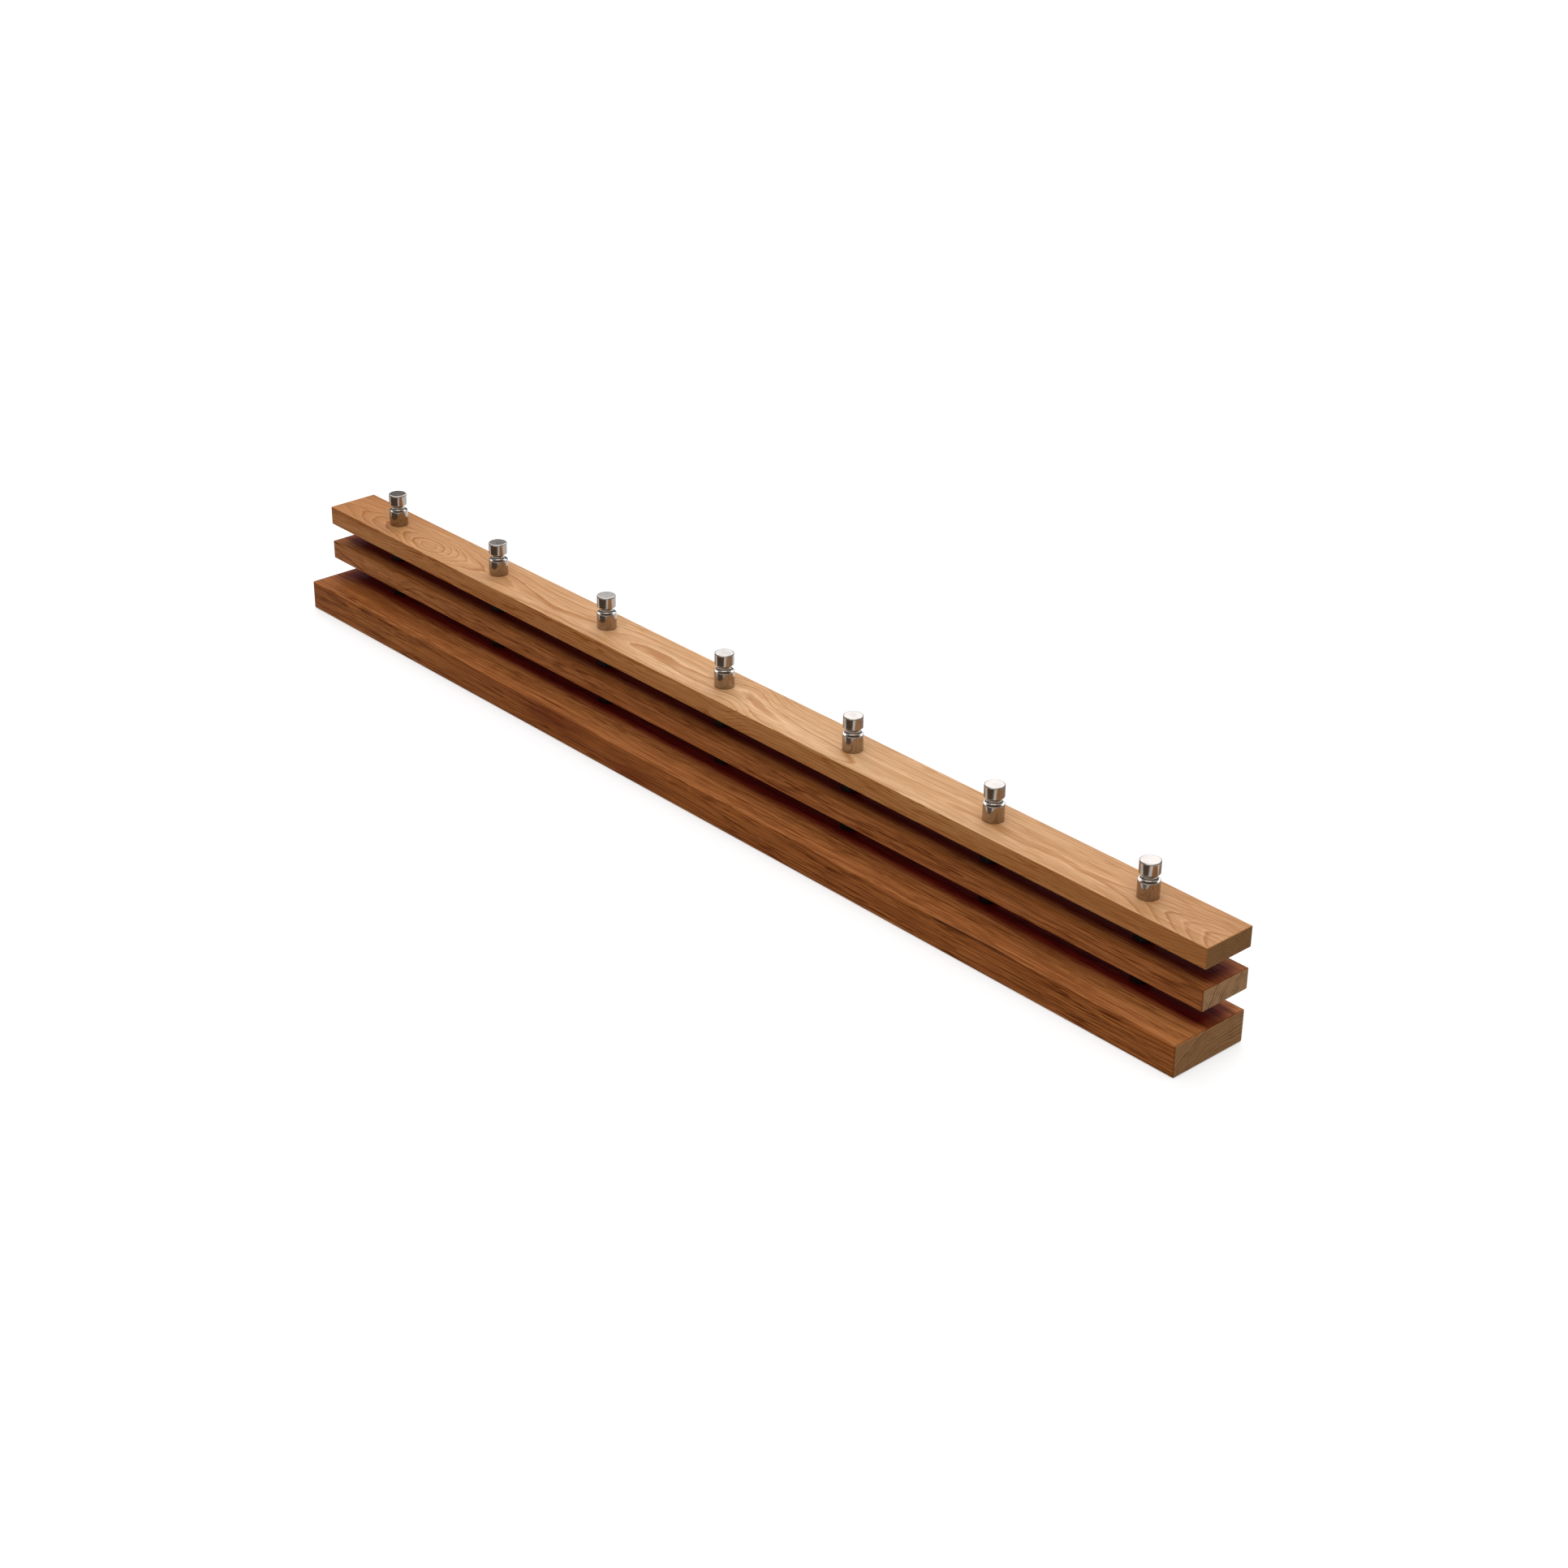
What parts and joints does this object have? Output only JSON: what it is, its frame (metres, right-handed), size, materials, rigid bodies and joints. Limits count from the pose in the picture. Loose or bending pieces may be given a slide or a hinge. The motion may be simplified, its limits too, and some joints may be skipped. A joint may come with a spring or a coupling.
{
  "type": "coat rack",
  "caption": "Wall coat rack: parallel wooden slats stacked on black round spacers, with a row of turned, grooved steel knobs for hanging coats.",
  "frame": {"origin": "middle of the back slat's back face, which lies against the wall", "axes": "+X along the slats, +Y towards the edge where all slats are flush (up on a wall), +Z along the knobs, away from the wall"},
  "size_m": [1, 0.069, 0.1168],
  "materials": {
    "front_wood": "oiled, fine grained",
    "middle_wood": "oiled, fine grained",
    "back_wood": "oiled, fine grained",
    "polished_steel": "polished stainless",
    "fastener_steel": "plain bright",
    "plate_steel": "zinc plated",
    "black_spacer": "matte black"
  },
  "bodies": {
    "root": {"front_slat": "front_wood", "middle_slat": "middle_wood", "back_slat": "back_wood", "knob_1": "polished_steel", "knob_2": "polished_steel", "knob_3": "polished_steel", "knob_4": "polished_steel", "knob_5": "polished_steel", "knob_6": "polished_steel", "knob_7": "polished_steel", "through_bolt_1": "fastener_steel", "through_bolt_2": "fastener_steel", "through_bolt_3": "fastener_steel", "through_bolt_4": "fastener_steel", "through_bolt_5": "fastener_steel", "through_bolt_6": "fastener_steel", "through_bolt_7": "fastener_steel", "bolt_washer_1": "fastener_steel", "bolt_washer_2": "fastener_steel", "bolt_washer_3": "fastener_steel", "bolt_washer_4": "fastener_steel", "bolt_washer_5": "fastener_steel", "bolt_washer_6": "fastener_steel", "bolt_washer_7": "fastener_steel", "front_spacer_1": "black_spacer", "front_spacer_2": "black_spacer", "front_spacer_3": "black_spacer", "front_spacer_4": "black_spacer", "front_spacer_5": "black_spacer", "front_spacer_6": "black_spacer", "front_spacer_7": "black_spacer", "back_spacer_1": "black_spacer", "back_spacer_2": "black_spacer", "back_spacer_3": "black_spacer", "back_spacer_4": "black_spacer", "back_spacer_5": "black_spacer", "back_spacer_6": "black_spacer", "back_spacer_7": "black_spacer", "keyhole_plate_left": "plate_steel", "plate_screw_left_lower": "fastener_steel", "plate_screw_left_upper": "fastener_steel", "keyhole_plate_right": "plate_steel", "plate_screw_right_lower": "fastener_steel", "plate_screw_right_upper": "fastener_steel"}
  },
  "joints": []
}
